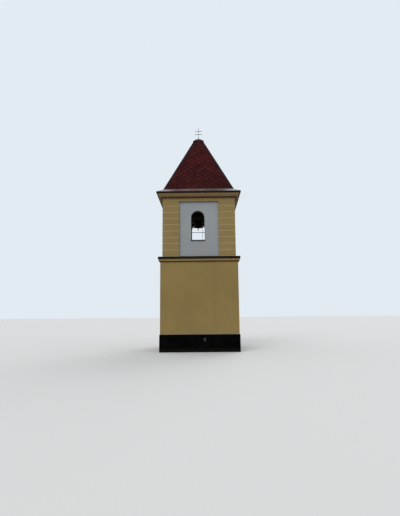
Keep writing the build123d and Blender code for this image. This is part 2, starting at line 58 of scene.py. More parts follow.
# The photograph's camera: at eye height, looking slightly up at the front
image_high = 516
focal_pixels = 400
sensor_long_mm = 36.0
eye = Vector((0.205, -19.58, 1.68))
pitch = math.radians(7.87)
yaw = math.radians(0.53)
roll = math.radians(-0.53)

# Shingles: three tabs to the metre, cut to half hexagons and laid half a tab over
course_count = 24
tab_pitch = 1 / 3
tab_foot_wide = 0.125
tab_root_gap = 0.02
shingle_thick = 0.0036
shingle_overhang = 0.012
shingle_lift = 0.001
shingle_slip = 0.002
starter_up = 0.25 * shingle_overhang
starter_lift = -2 * shingle_thick
starter_shade = 0.1
hip_inset = 0.03
head_cut = 0.0005

# Sheet metal: seams on the skirt and the coping, and the bare strip under the lowest shingles, whose
# pale wavy band also paints the highlight along the skirt's top edge
seam_wide = 0.014
seam_high = 0.003
seam_top_share = 0.7
skirt_seams = 6
skirt_seam_pitch = 0.62
skirt_seam_start_share = 0.03
coping_seams = 4
coping_seam_pitch = 0.95
strip_steps = 60
strip_wide = 0.04
strip_thick = 0.002
strip_wave = 0.004
strip_waves = (9.1, 23.0)

# Openings: half width, and how far the middle lies to the right when looking at each side
opening_halves = {"front": 0.31, "right": 0.31, "back": 0.355, "left": 0.31}
opening_middles = {"front": -0.048, "right": 0.0, "back": 0.048, "left": 0.0}

# Guard rails across the openings
rail_height = 5.355
rail_radius = 0.0125
rail_set_back = 0.05
rosette_radius = 0.022
rosette_thick = 0.004

# Roof cap, fuller than a plain pyramid, lapping over the top of the hips
cap_half = 0.273
cap_lap = 0.09
cap_edge = 0.022
cap_tip_half = 0.032
cap_bulge = 0.024
cap_steps = 10
socket_radius = 0.024
socket_high = 0.046
socket_sunk = 0.01

# Forged drop on the lower end of the clapper: radius and height over its foot
flight_rings = ((0.013, 0), (0.018, 0.004), (0.0195, 0.014),
                (0.0195, 0.09), (0.014, 0.112), (0.009, 0.13))

# Door boards, the nails through each board and those of the hinge straps
board_count = 6
board_chamfer = 0.004
board_ease = 0.0002
board_uneven = 0.001
middle_ledge = 1 / 2
ledge_shares = (1 / 8, middle_ledge, 7 / 8)
nail_shares = (0.25, 0.75)
nail_size = (0.005, 0.0025)
nail_sunk = 0.001
strap_long = 0.48
strap_clear = 0.03
strap_thick = 0.005
strap_nails = 4
strap_nail_first = 0.05
strap_nail_pitch = 0.13
strap_nail_size = (0.011, 0.005)

# Bolts of the bearings and the headstock: (radius, height), and where they stand on their plates
bearing_bolt = (0.013, 0.011)
bearing_bolt_aside = 0.075
bearing_bolt_inset = 0.042
bearing_foot_thick = 0.018
plate_bolt = (0.008, 0.006)
plate_bolt_aside = 0.032
plate_thick = 0.01
strap_bolt = (0.01, 0.008)
strap_bolt_aside = 0.045
stock_bolt_rise = 0.032
lever_bolt_aside = 0.035

# Bell rope: its route from the lever down to the knot, its strands, its hitch and its knot
rope_route = ((0.162, 0.3, 6.52), (0.162, 0.3, 4.78), (0.162, 0.3, 3.04), (0.162, 0.3, 1.3))
rope_diameter = 0.016
spline_steps = 24
strand_count = 3
strand_pitch = 0.06
strand_steps = 10
hitch_turns = 3
hitch_steps = 28
hitch_squareness = 0.6
knot_turns = 3
knot_steps = 20
knot_radius = 0.0135
knot_swell = 0.0035
knot_pitch = 1.05 * rope_diameter
tail_radius = 0.0078
tail_end_radius = 0.0065
tail_chamfer = 0.004


def rgb(red, green, blue):
    """A colour written in sRGB from 0 to 255, as a shader takes it."""
    def linear(value):
        share = value / 255
        return share / 12.92 if share <= 0.04045 else ((share + 0.055) / 1.055) ** 2.4
    return (linear(red), linear(green), linear(blue), 1.0)


def toned(colour, factor, added=0):
    """A colour made darker or paler."""
    return rgb(*[value * factor + added for value in colour])


class Finish:
    """A procedural material, built node by node on the object's own coordinates."""

    def __init__(self, name, roughness, metallic=0.0, gloss=0.1):
        self.material = bpy.data.materials.new(name)
        self.material.use_nodes = True
        self.tree = self.material.node_tree
        self.shader = self.tree.nodes["Principled BSDF"]
        self.shader.inputs["Metallic"].default_value = metallic
        self.shader.inputs["Roughness"].default_value = roughness
        self.shader.inputs["Specular IOR Level"].default_value = gloss
        self.place = self.node("TexCoord").outputs["Object"]
        self.normal = None

    def node(self, kind, inputs=None, **settings):
        node = self.tree.nodes.new("ShaderNode" + kind)
        for key, value in settings.items():
            setattr(node, key, value)
        for key, value in (inputs or {}).items():
            self.feed(node.inputs[key], value)
        return node

    def feed(self, socket, value):
        if isinstance(value, bpy.types.NodeSocket):
            self.tree.links.new(value, socket)
        else:
            socket.default_value = value

    def stretched(self, scale):
        return self.node("Mapping", {"Vector": self.place, "Scale": scale}).outputs["Vector"]

    def noise(self, scale, detail, stretch=None):
        vector = self.stretched(stretch) if stretch else self.place
        inputs = {"Vector": vector, "Scale": scale, "Detail": detail}
        return self.node("TexNoise", inputs).outputs["Fac"]

    def cells(self, scale):
        """A grey of its own for each cell of a pattern of grains."""
        colour = self.node("TexVoronoi", {"Vector": self.place, "Scale": scale}).outputs["Color"]
        return self.node("RGBToBW", {"Color": colour}).outputs["Val"]

    def math(self, operation, first, second=0.0):
        return self.node("Math", {0: first, 1: second}, operation=operation).outputs[0]

    def times(self, first, second):
        return self.math("MULTIPLY", first, second)

    def ramp(self, value, low, high):
        """0 at low and 1 at high, with a smooth step between. Low may be the larger of the two."""
        inputs = {"Value": value, "From Min": low, "From Max": high}
        return self.node("MapRange", inputs, interpolation_type="SMOOTHSTEP").outputs["Result"]

    def scaled(self, value, low, high):
        inputs = {"Value": value, "To Min": low, "To Max": high}
        return self.node("MapRange", inputs).outputs["Result"]

    def mix(self, factor, first, second):
        """Mixes two colours, which the node takes at its inputs 6 and 7 and gives at its output 2."""
        mixer = self.node("Mix", data_type="RGBA")
        self.feed(mixer.inputs[0], factor)
        self.feed(mixer.inputs[6], first)
        self.feed(mixer.inputs[7], second)
        return mixer.outputs[2]

    def axes(self):
        return self.node("SeparateXYZ", {"Vector": self.place}).outputs

    def off_axis(self, operation):
        """The larger or the smaller of a point's distances from the tower's axis, across and along."""
        across, along = [self.math("ABSOLUTE", distance) for distance in self.axes()[:2]]
        return self.math(operation, across, along)

    def attribute(self, name):
        return self.node("Attribute", attribute_name=name).outputs["Fac"]

    def edges(self, radius):
        """1 on edges that are sharper than the radius, and 0 on open faces."""
        soft = self.node("Bevel", {"Radius": radius}, samples=4).outputs["Normal"]
        flat = self.node("NewGeometry").outputs["Normal"]
        dot = self.node("VectorMath", {0: soft, 1: flat}, operation="DOT_PRODUCT").outputs["Value"]
        return self.ramp(self.math("SUBTRACT", 1.0, dot), 0.02, 0.25)

    def bump(self, height, distance):
        inputs = {"Height": height, "Distance": distance}
        if self.normal:
            inputs["Normal"] = self.normal
        self.normal = self.node("Bump", inputs).outputs["Normal"]
        self.feed(self.shader.inputs["Normal"], self.normal)

    def colour(self, value):
        self.feed(self.shader.inputs["Base Color"], value)

    def roughness(self, value, low, high):
        self.feed(self.shader.inputs["Roughness"], self.scaled(value, low, high))


def farthest(node, direction):
    """The vertex of a node that lies farthest along a direction."""
    heading = Vector(direction)
    return max((v.co for v in nodes[node].data.vertices), key=heading.dot).copy()


# Levels and half widths that the finishes and the pieces need, read from the frame
wall_inner = -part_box("lower_wall_front")[1].y
shaft_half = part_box("frieze")[1].x
shaft_inner = -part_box("panel_wall_front")[1].y
panel_face = -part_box("panel_wall_front")[0].y
masonry_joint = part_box("corner_pier_front_left")[0].z
plinth_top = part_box("plinth")[1].z
skirt_low, skirt_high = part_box("metal_skirt")
course_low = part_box("string_course")[0].z
cornice_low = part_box("main_cornice")[0].z

# Where the painted shade under a moulding is full and where it ends
course_painted_shade = (course_low + 0.035, course_low + 0.06)
cornice_painted_shade = (cornice_low + 0.04, cornice_low + 0.067)

# Levels where splashed mud ends and where it is full, and how thick the limewash may be
splash_end = plinth_top + 0.5
splash_full = plinth_top + 0.1
limewash_thick = 0.003

# How far from the middle of its sides the skirt's metal begins to turn paler and is palest
paler_from = 1.05
palest_at = 1.5

# Grooves in the corner piers: places over the joint between the storeys, and depths behind the face
groove_first = 0.15
groove_pitch = 0.2907
groove_half = 0.0135
groove_shallow = 0.0005
groove_deep = 0.03


def plaster(name, colour, inner_half, face_half=None, painted_shade_band=None):
    """Painted fine plaster outside, with paint lines in the grooves of the piers and painted shade at
    the foot of a moulding, and inside a dusty limewash darkened as painted shade.
    """
    finish = Finish(name, 0.9)
    height = finish.axes()[2]
    reach = finish.off_axis("MAXIMUM")
    clouds = finish.noise(0.55, 4.0)
    mottle = finish.noise(5.0, 6.0)
    streaks = finish.noise(3.0, 5.0, (1.0, 1.0, 0.06))
    paint = finish.mix(finish.ramp(clouds, 0.35, 0.65), toned(colour, 0.978), toned(colour, 1.022, 0.5))
    worn = finish.times(finish.ramp(mottle, 0.52, 0.74), 0.16)
    paint = finish.mix(worn, paint, toned(colour, 0.9))
    tone_shift = finish.times(finish.ramp(streaks, 0.56, 0.78), 0.2)
    paint = finish.mix(tone_shift, paint, toned(colour, 0.86))
    if face_half:
        step = finish.math("SUBTRACT", height, masonry_joint + groove_first - groove_pitch / 2)
        phase = finish.math("MODULO", step, groove_pitch)
        off = finish.math("ABSOLUTE", finish.math("SUBTRACT", phase, groove_pitch / 2))
        line = finish.math("LESS_THAN", off, groove_half)
        sunk = finish.math("LESS_THAN", reach, face_half - groove_shallow)
        outside = finish.math("GREATER_THAN", reach, face_half - groove_deep)
        mask = finish.times(finish.times(line, sunk), outside)
        paint = finish.mix(mask, paint, rgb(172, 158, 124))
    uneven = finish.math("ADD", height, finish.times(mottle, 0.3))
    splash = finish.ramp(uneven, splash_end, splash_full)
    paint = finish.mix(finish.times(splash, 0.3), paint, rgb(122, 112, 88))
    # Painted shade: the foot of a moulding, whose cove lies in shade, darkened in a band broken up by
    # the mottle
    if painted_shade_band:
        full, end = painted_shade_band
        painted_shade_mask = finish.times(finish.ramp(height, end, full), finish.scaled(mottle, 0.5, 1.1))
        paint = finish.mix(painted_shade_mask, paint, rgb(70, 48, 16))
    # Inside, dusty limewash darkened further as painted shade of the dark chamber behind the openings
    indoors = finish.math("LESS_THAN", reach, inner_half + limewash_thick)
    limewash_and_shade = finish.mix(finish.ramp(mottle, 0.35, 0.7), rgb(50, 46, 40), rgb(34, 30, 26))
    finish.colour(finish.mix(indoors, paint, limewash_and_shade))
    finish.roughness(mottle, 0.82, 0.97)
    finish.bump(clouds, 0.006)
    finish.bump(finish.noise(38.0, 5.0), 0.002)
    finish.bump(finish.noise(420.0, 2.0), 0.001)
    return finish.material


def plinth_coat():
    """Near-black tar coating with dust and splashes towards the ground."""
    finish = Finish("plinth_coat", 0.75, gloss=0.02)
    height = finish.axes()[2]
    patches = finish.noise(2.2, 6.0)
    grit = finish.noise(60.0, 4.0)
    coat = finish.mix(finish.ramp(patches, 0.35, 0.68), rgb(2, 2, 2), rgb(8, 8, 8))
    ground = finish.math("ADD", height, finish.times(patches, 0.35))
    dust = finish.times(finish.ramp(ground, 0.42, 0.1), finish.ramp(grit, 0.35, 0.65))
    coat = finish.mix(finish.times(dust, 0.3), coat, rgb(66, 60, 50))
    worn = finish.times(finish.edges(0.01), 0.4)
    finish.colour(finish.mix(worn, coat, rgb(52, 50, 47)))
    finish.roughness(patches, 0.6, 0.9)
    finish.bump(patches, 0.004)
    finish.bump(grit, 0.0012)
    return finish.material


def concrete():
    """Cast concrete with small pores."""
    finish = Finish("concrete", 0.88)
    patches = finish.noise(3.0, 6.0)
    pores = finish.noise(90.0, 4.0)
    body = finish.mix(finish.ramp(patches, 0.35, 0.7), rgb(122, 118, 110), rgb(88, 84, 78))
    finish.colour(finish.mix(finish.ramp(pores, 0.6, 0.75), body, rgb(66, 62, 56)))
    finish.roughness(patches, 0.8, 0.95)
    finish.bump(pores, 0.0015)
    return finish.material


def timber(name, pale, dark, grain_axis="z"):
    """Boards or beams with the grain along one axis."""
    finish = Finish(name, 0.6, gloss=0.3)
    stretch = {"x": (0.05, 1.0, 1.0), "z": (1.0, 1.0, 0.05)}[grain_axis]
    grain = finish.noise(42.0, 6.0, stretch)
    rings = finish.noise(7.0, 2.0, stretch)
    patches = finish.noise(1.6, 3.0)
    body = finish.mix(finish.ramp(rings, 0.35, 0.65), rgb(*pale), rgb(*dark))
    veins = finish.times(finish.ramp(grain, 0.52, 0.72), 0.6)
    body = finish.mix(veins, body, toned(dark, 0.55))
    worn = finish.times(finish.edges(0.004), 0.35)
    body = finish.mix(worn, body, toned(pale, 1.3))
    soiled = finish.times(finish.ramp(patches, 0.5, 0.7), 0.3)
    finish.colour(finish.mix(soiled, body, toned(dark, 0.75)))
    finish.roughness(grain, 0.5, 0.8)
    finish.bump(grain, 0.0008)
    finish.bump(rings, 0.0006)
    return finish.material


def painted_sheet(name, colour, worn_colour, roughness=0.45, wear=0.4):
    """Painted sheet metal, slightly buckled, with dull streaks and paint worn on its edges."""
    finish = Finish(name, roughness, gloss=0.1)
    buckles = finish.noise(2.2, 2.0)
    streaks = finish.noise(9.0, 5.0, (1.0, 1.0, 0.12))
    spots = finish.noise(55.0, 4.0)
    paint = finish.mix(finish.ramp(buckles, 0.35, 0.65), rgb(*colour), toned(colour, 1.35, 3))
    dull = finish.times(finish.ramp(streaks, 0.52, 0.75), 0.45)
    paint = finish.mix(dull, paint, toned(colour, 1.7, 6))
    flakes = finish.times(finish.edges(0.006), finish.ramp(spots, 0.4, 0.6))
    finish.colour(finish.mix(finish.times(flakes, wear), paint, rgb(*worn_colour)))
    finish.roughness(streaks, roughness - 0.1, roughness + 0.25)
    finish.bump(buckles, 0.006)
    finish.bump(spots, 0.0004)
    return finish.material


def bare_sheet(name, pale, dull, stain, hip_colour=None):
    """Weathered zinc-coated sheet with flow marks and stains, paler towards the hips."""
    finish = Finish(name, 0.6, 0.15, 0.2)
    patches = finish.noise(1.1, 4.0)
    spangle = finish.times(finish.cells(38.0), 0.16)
    flow = finish.noise(12.0, 5.0, (1.0, 1.0, 0.25))
    body = finish.mix(finish.ramp(patches, 0.34, 0.66), rgb(*pale), rgb(*dull))
    body = finish.mix(spangle, body, toned(dull, 0.8))
    marks = finish.times(finish.ramp(flow, 0.5, 0.78), 0.5)
    body = finish.mix(marks, body, rgb(*stain))
    # Paler towards the hips
    if hip_colour:
        near_hips = finish.ramp(finish.off_axis("MINIMUM"), paler_from, palest_at)
        tone_shift = finish.times(near_hips, finish.ramp(patches, 0.15, 0.4))
        body = finish.mix(finish.times(tone_shift, 0.75), body, rgb(*hip_colour))
    finish.colour(body)
    finish.roughness(flow, 0.42, 0.72)
    finish.bump(finish.noise(3.4, 2.0), 0.01)
    finish.bump(finish.noise(70.0, 3.0), 0.0005)
    return finish.material


def shingles():
    """Mineral grit on bitumen: each tab has its own tone and a darker band above its shoulders."""
    finish = Finish("roof_shingle", 0.92, gloss=0.06)
    shade = finish.attribute("shade")
    fade = finish.attribute("fade")
    patches = finish.noise(0.9, 4.0)
    grit = finish.cells(420.0)
    body = finish.mix(shade, rgb(44, 13, 14), rgb(68, 22, 22))
    weathered = finish.times(finish.ramp(patches, 0.4, 0.65), 0.4)
    body = finish.mix(weathered, body, rgb(38, 11, 14))
    dark_grains = finish.times(finish.ramp(grit, 0.5, 0.75), 0.45)
    body = finish.mix(dark_grains, body, rgb(27, 10, 12))
    pale_grains = finish.times(finish.ramp(grit, 0.34, 0.22), 0.35)
    body = finish.mix(pale_grains, body, rgb(96, 44, 40))
    band = finish.times(finish.ramp(fade, 0.55, 1.1), 0.5)
    finish.colour(finish.mix(band, body, rgb(24, 9, 11)))
    finish.roughness(grit, 0.8, 1.0)
    finish.bump(grit, 0.0007)
    finish.bump(finish.noise(24.0, 3.0), 0.0008)
    return finish.material


def iron():
    """Black painted forged iron, with rust where the paint has gone."""
    finish = Finish("wrought_iron", 0.6, 0.2, 0.15)
    hammered = finish.noise(34.0, 3.0)
    spots = finish.noise(120.0, 4.0)
    body = finish.mix(finish.ramp(hammered, 0.4, 0.6), rgb(18, 18, 19), rgb(34, 33, 32))
    rust = finish.times(finish.ramp(spots, 0.56, 0.7), 0.55)
    body = finish.mix(rust, body, rgb(88, 50, 30))
    worn = finish.times(finish.edges(0.003), 0.4)
    finish.colour(finish.mix(worn, body, rgb(86, 80, 76)))
    finish.roughness(hammered, 0.45, 0.75)
    finish.bump(hammered, 0.0008)
    return finish.material


def bronze():
    """Old bell bronze, dark brown with green in the runs."""
    finish = Finish("bell_bronze", 0.42, 0.85, 0.5)
    patches = finish.noise(6.0, 5.0)
    runs = finish.noise(22.0, 4.0, (1.0, 1.0, 0.12))
    body = finish.mix(finish.ramp(patches, 0.35, 0.65), rgb(84, 66, 42), rgb(52, 42, 28))
    green = finish.times(finish.ramp(runs, 0.5, 0.72), 0.7)
    body = finish.mix(green, body, rgb(70, 92, 76))
    worn = finish.times(finish.edges(0.004), 0.6)
    finish.colour(finish.mix(worn, body, rgb(150, 122, 74)))
    finish.roughness(patches, 0.32, 0.62)
    finish.bump(finish.noise(80.0, 3.0), 0.0003)
    return finish.material


def hemp():
    """Hemp fibres, soiled in places, and darkened as painted shade of the backlit chamber."""
    finish = Finish("hemp", 0.9)
    fibres = finish.noise(900.0, 3.0, (1.0, 1.0, 0.3))
    dirt = finish.noise(7.0, 4.0)
    # Weathered hemp colours, kept darker as painted shade where the rope hangs backlit
    body = finish.mix(finish.ramp(fibres, 0.35, 0.68), rgb(70, 58, 42), rgb(42, 34, 24))
    soiled = finish.times(finish.ramp(dirt, 0.45, 0.7), 0.5)
    finish.colour(finish.mix(soiled, body, rgb(42, 34, 26)))
    finish.roughness(fibres, 0.8, 1.0)
    finish.bump(fibres, 0.0004)
    return finish.material


# Finishes by name, with their colours in sRGB
finishes = {
    "lower_plaster": plaster("ochre_plaster", (127, 108, 67), wall_inner),
    # The string course and the cornice take a band of painted shade at their foot
    "course_plaster": plaster("ochre_plaster_course", (127, 108, 67), wall_inner, painted_shade_band=course_painted_shade),
    "shaft_plaster": plaster("ochre_plaster_shaft", (131, 112, 76), shaft_inner),
    # The cornice takes the walls' ochre made paler as painted light, offsetting the shade under the eave
    "cornice_plaster": plaster("ochre_plaster_cornice", (137, 114, 81), shaft_inner,
                               painted_shade_band=cornice_painted_shade),
    "pier_plaster": plaster("ochre_plaster_piers", (127, 109, 71), shaft_inner, shaft_half),
    "panel_plaster": plaster("grey_plaster", (135, 139, 142), shaft_inner),
    "plinth": plinth_coat(),
    "concrete": concrete(),
    "door": timber("door_timber", (96, 66, 42), (66, 44, 28)),
    "ledges": timber("door_timber_ledges", (92, 64, 42), (62, 42, 28), "x"),
    "oak": timber("oak", (84, 68, 50), (56, 44, 32), "x"),
    "dark_sheet": painted_sheet("dark_sheet_metal", (16, 9, 3), (70, 56, 40)),
    "hip_sheet": painted_sheet("dark_sheet_metal_hips", (22, 13, 14), (66, 54, 50)),
    "grey_sheet": bare_sheet("grey_sheet_metal", (98, 86, 87), (74, 59, 59), (50, 37, 36),
                             (140, 140, 143)),
    # A paler sheet for the strip along the skirt's top, its paleness partly a painted highlight
    "bright_sheet": bare_sheet("grey_sheet_metal_strip", (150, 148, 146), (124, 118, 116), (98, 90, 87)),
    "shingles": shingles(),
    "iron": iron(),
    "bronze": bronze(),
    "hemp": hemp(),
    "vent": painted_sheet("vent_metal", (38, 38, 41), (84, 74, 66), 0.5, 0.3),
}

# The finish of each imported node
node_finishes = {
    "plinth": "plinth",
    "ground_floor": "concrete",
    "belfry_floor": "concrete",
    "door_frame": "door",
    "door_leaf": "door",
    "door_ledges": "ledges",
    "string_course": "course_plaster",
    "string_course_coping": "dark_sheet",
    "window_sills": "dark_sheet",
    "frieze": "shaft_plaster",
    "main_cornice": "cornice_plaster",
    "eave_board": "dark_sheet",
    "metal_skirt": "grey_sheet",
    "hip_caps": "hip_sheet",
    "roof_cap": "hip_sheet",
    "bell_beams": "oak",
    "headstock": "oak",
    "bell": "bronze",
    "bell_rope": "hemp",
    "rope_knot": "hemp",
    "plinth_vent": "vent",
}
for node in ("door_hinges", "door_handle", "roof_cross", "shaft_bearings", "headstock_straps",
             "headstock_gudgeons", "clapper", "bell_lever"):
    node_finishes[node] = "iron"
for side in turns:
    node_finishes[f"lower_wall_{side}"] = "lower_plaster"
    node_finishes[f"panel_wall_{side}"] = "panel_plaster"
    node_finishes[f"roof_slope_{side}"] = "shingles"
for corner in corners:
    node_finishes[f"corner_pier_{corner}"] = "pier_plaster"
for node, finish in node_finishes.items():
    nodes[node].data.materials.clear()
    nodes[node].data.materials.append(finishes[finish])


def turned(side):
    """The turn about the tower's axis that takes the front to another side."""
    return Matrix.Rotation(math.radians(turns[side]), 4, "Z")


def make_object(name, bm, finish):
    """Turns a bmesh into an object with a finish."""
    bmesh.ops.recalc_face_normals(bm, faces=bm.faces)
    data = bpy.data.meshes.new(name)
    bm.to_mesh(data)
    bm.free()
    data.materials.append(finishes[finish])
    piece = bpy.data.objects.new(name, data)
    bpy.context.scene.collection.objects.link(piece)
    return piece


def make_piece(name, bm, finish, body="root"):
    """Turns a bmesh into a piece that rides on a body."""
    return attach(make_object(name, bm, finish), body)


def skin(bm, loops):
    """Joins loops of as many vertices, one after another, into one closed solid."""
    bm.faces.new(loops[0][::-1])
    bm.faces.new(loops[-1])
    for low, high in zip(loops, loops[1:]):
        for step in range(len(low)):
            after = (step + 1) % len(low)
            bm.faces.new((low[step], low[after], high[after], high[step]))


def prism(bm, low, high):
    """A closed solid between two outlines with as many points."""
    loops = [[bm.verts.new(point) for point in outline] for outline in (low, high)]
    skin(bm, loops)
    return loops


def ring(bm, centre, aside, across, radius, sides):
    """A ring of vertices round a centre, in the plane of two directions."""
    loop = []
    for step in range(sides):
        angle = 2 * math.pi * step / sides
        arm = aside * math.cos(angle) + across * math.sin(angle)
        loop.append(bm.verts.new(centre + arm * radius))
    return loop


def turned_solid(bm, centre, axis, rings, sides):
    """A closed solid turned about an axis, from rings of (radius, distance along the axis)."""
    axis = Vector(axis).normalized()
    aside = axis.orthogonal().normalized()
    across = axis.cross(aside)
    loops = []
    for radius, along in rings:
        loops.append(ring(bm, Vector(centre) + axis * along, aside, across, radius, sides))
    skin(bm, loops)


def bolt(bm, centre, axis, radius, high):
    """A hexagon head with its upper edge chamfered."""
    rings = ((radius, 0), (radius, 0.8 * high), (0.86 * radius, high))
    turned_solid(bm, centre, axis, rings, sides=6)


def nail(bm, centre, axis, radius, high):
    """A low domed head."""
    rings = ((radius, 0), (0.92 * radius, 0.45 * high),
             (0.7 * radius, 0.8 * high), (0.35 * radius, high))
    turned_solid(bm, centre, axis, rings, sides=10)


def seam(bm, start, end, normal, turn):
    """A flat folded seam that lies on a surface between two points."""
    start, end, normal = Vector(start), Vector(end), Vector(normal).normalized()
    aside = (end - start).cross(normal).normalized() * seam_wide / 2
    top = aside * seam_top_share
    section = ((aside, 0), (top, seam_high), (-top, seam_high), (-aside, 0))
    low = [turn @ (start + offset + normal * rise) for offset, rise in section]
    high = [turn @ (end + offset + normal * rise) for offset, rise in section]
    prism(bm, low, high)


def tube(bm, points, radius, sides):
    """A closed tube of round section along points, its ring carried along without twist."""
    count = len(points)
    tangents = []
    for index in range(count):
        ahead = points[min(index + 1, count - 1)] - points[max(index - 1, 0)]
        tangents.append(ahead.normalized())
    aside = tangents[0].orthogonal().normalized()
    loops = []
    for point, tangent in zip(points, tangents):
        aside = (aside - tangent * aside.dot(tangent)).normalized()
        loops.append(ring(bm, point, aside, tangent.cross(aside), radius, sides))
    skin(bm, loops)


def spread(count, pitch):
    """Places a pitch apart, spread evenly about the middle."""
    return [(step - (count - 1) / 2) * pitch for step in range(count)]


def smooth(piece):
    """Shades a piece as one round surface."""
    for face in piece.data.polygons:
        face.use_smooth = True
    return piece


# Shingles on the four slopes, on a grid of (across, up the slope, out from the slope)
seat = farthest("roof_slope_front", (1, -1, -1))
head = farthest("roof_slope_front", (0.01, -0.01, 1))
upwards = Vector((0, head.y - seat.y, head.z - seat.z)).normalized()
outwards = Vector((0, -upwards.z, upwards.y))
slope_foot = Vector((0, seat.y, seat.z)) + upwards * ((skirt_high.z - seat.z) / upwards.z)
slope_long = (head.z - slope_foot.z) / upwards.z
course = slope_long / course_count


def on_slope(across, up, out):
    """A point of the front slope, from the middle of its foot."""
    return slope_foot + Vector((across, 0, 0)) + upwards * up + outwards * out


def slope_half(up):
    """Half the width of the front slope at a distance up it."""
    return -slope_foot.y - upwards.y * up


def lay_sheet(bm, layers, outline, origin, lift, shade):
    """One shingle tab: a thin sheet whose foot lies on two others, falling to the deck at its head."""
    across, up = origin
    low, high = [], []
    for x, y in outline:
        rest = shingle_thick * (2 - y / course) + lift * (1 - y / (2 * course))
        low.append(on_slope(across + x, up + y, rest))
        high.append(on_slope(across + x, up + y, rest + shingle_thick))
    for loop in prism(bm, low, high):
        for vertex, (x, y) in zip(loop, outline):
            vertex[layers[0]] = shade
            vertex[layers[1]] = y / course


def shingle_slope(side, rng):
    """Lays one side's courses and cuts them off at the hips and at the head."""
    bm = bmesh.new()
    layers = (bm.verts.layers.float.new("shade"), bm.verts.layers.float.new("fade"))
    foot = tab_foot_wide / 2
    root = (tab_pitch - tab_root_gap) / 2
    half = tab_pitch / 2
    tab = ((-foot, 0), (foot, 0), (root, course), (half, course), (half, 2 * course),
           (-half, 2 * course), (-half, course), (-root, course))
    starter = ((-half, 0), (half, 0), (half, course), (-half, course))
    reach = math.ceil(slope_half(0) / tab_pitch)
    for index in range(-reach, reach + 1):
        lay_sheet(bm, layers, starter, (index * tab_pitch, starter_up), starter_lift, starter_shade)
    for row in range(course_count):
        up = row * course - shingle_overhang
        shift = (row % 2) * half
        for index in range(-reach - 1, reach + 1):
            across = index * tab_pitch + shift
            lift = rng.uniform(0, shingle_lift)
            shade = rng.random()
            slip = rng.uniform(-shingle_slip, shingle_slip)
            if abs(across) - half < slope_half(up):
                lay_sheet(bm, layers, tab, (across + slip, up + slip / 2), lift, shade)
    hip = Vector((1, 0, 0)) + upwards * upwards.y
    hip.normalize()
    cuts = [(on_slope(slope_half(0), 0, 0) - hip * hip_inset, hip)]
    hip = Vector((-hip.x, hip.y, hip.z))
    cuts.append((on_slope(-slope_half(0), 0, 0) - hip * hip_inset, hip))
    cuts.append((Vector((0, 0, head.z - head_cut)), Vector((0, 0, 1))))
    for place, normal in cuts:
        everything = bm.verts[:] + bm.edges[:] + bm.faces[:]
        bmesh.ops.bisect_plane(bm, geom=everything, plane_co=place, plane_no=normal, clear_outer=True)
        bmesh.ops.holes_fill(bm, edges=[edge for edge in bm.edges if edge.is_boundary])
    bm.transform(turned(side))
    make_piece(f"shingles_{side}", bm, "shingles")


rng = random.Random(11)
for side in turns:
    shingle_slope(side, rng)

# Folded seams on the skirt, and the bare strip along its top edge, pale and wavy as a painted highlight
skirt_out = Vector((0, -(skirt_high.z - skirt_low.z), -skirt_low.y + slope_foot.y)).normalized()


def on_skirt(across, share, rise=0.0):
    """A point on the front of the skirt, from its lower edge at 0 to its upper edge at 1."""
    level = skirt_low.z + share * (skirt_high.z - skirt_low.z)
    depth = skirt_low.y + share * (slope_foot.y - skirt_low.y)
    return Vector((across, depth, level)) + skirt_out * rise


bm = bmesh.new()
for side in turns:
    for across in spread(skirt_seams, skirt_seam_pitch):
        start = on_skirt(across, skirt_seam_start_share)
        seam(bm, start, on_skirt(across, 1.0), skirt_out, turned(side))
make_piece("skirt_seams", bm, "grey_sheet")

# The strip is pale and wavy: bare sheet that also paints the highlight along the skirt's top edge
bm = bmesh.new()
half = -slope_foot.y
slow, fast = strip_waves
for side in turns:
    rows = []
    for step in range(strip_steps + 1):
        share = 2 * step / strip_steps - 1
        width = strip_wide + strip_wave * (math.sin(slow * share + turns[side]) + math.sin(fast * share))
        low_share = 1 - width / (on_skirt(0, 1) - on_skirt(0, 0)).length
        across_low = share * (half + (1 - low_share) * (-skirt_low.y - half))
        section = (on_skirt(across_low, low_share, 0), on_skirt(across_low, low_share, strip_thick),
                   on_skirt(share * half, 1, strip_thick), on_skirt(share * half, 1, 0))
        rows.append([bm.verts.new(turned(side) @ point) for point in section])
    skin(bm, rows)
make_piece("skirt_strip", bm, "bright_sheet")

# Roof cap of bent sheet with the socket of the cross
cap_low, cap_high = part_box("roof_cap")
cap_shoulder = cap_low.z - cap_lap + cap_edge
cap_tip = cap_high.z - socket_high
cap_rings = [(cap_half, cap_low.z - cap_lap)]
for step in range(cap_steps + 1):
    share = step / cap_steps
    level = cap_shoulder + share * (cap_tip - cap_shoulder) + cap_bulge * math.sin(math.pi * share)
    cap_rings.append((cap_half + share * (cap_tip_half - cap_half), level))
bm = bmesh.new()
loops = []
for half, level in cap_rings:
    square = ((-half, -half), (half, -half), (half, half), (-half, half))
    loops.append([bm.verts.new((x, y, level)) for x, y in square])
skin(bm, loops)
rings = ((socket_radius, -socket_sunk), (socket_radius, socket_high))
turned_solid(bm, (0, 0, cap_tip), (0, 0, 1), rings, sides=16)
cap_sheet = make_piece("roof_cap_sheet", bm, "hip_sheet")
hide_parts("roof_cap")

# Folded seams over the coping of the string course
coping_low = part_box("string_course_coping")[0]
coping_nose = farthest("string_course_coping", (0, -1, 0.01))
coping_back = farthest("string_course_coping", (0, -0.01, 1))
coping_up = Vector((0, -(coping_back.z - coping_nose.z), coping_back.y - coping_nose.y)).normalized()
bm = bmesh.new()
for side in turns:
    for across in spread(coping_seams, coping_seam_pitch):
        edge_top = (across, coping_nose.y, coping_nose.z)
        seam(bm, (across, coping_nose.y, coping_low.z), edge_top, (0, -1, 0), turned(side))
        seam(bm, edge_top, (across, -shaft_half, coping_back.z), coping_up, turned(side))
make_piece("coping_seams", bm, "dark_sheet")

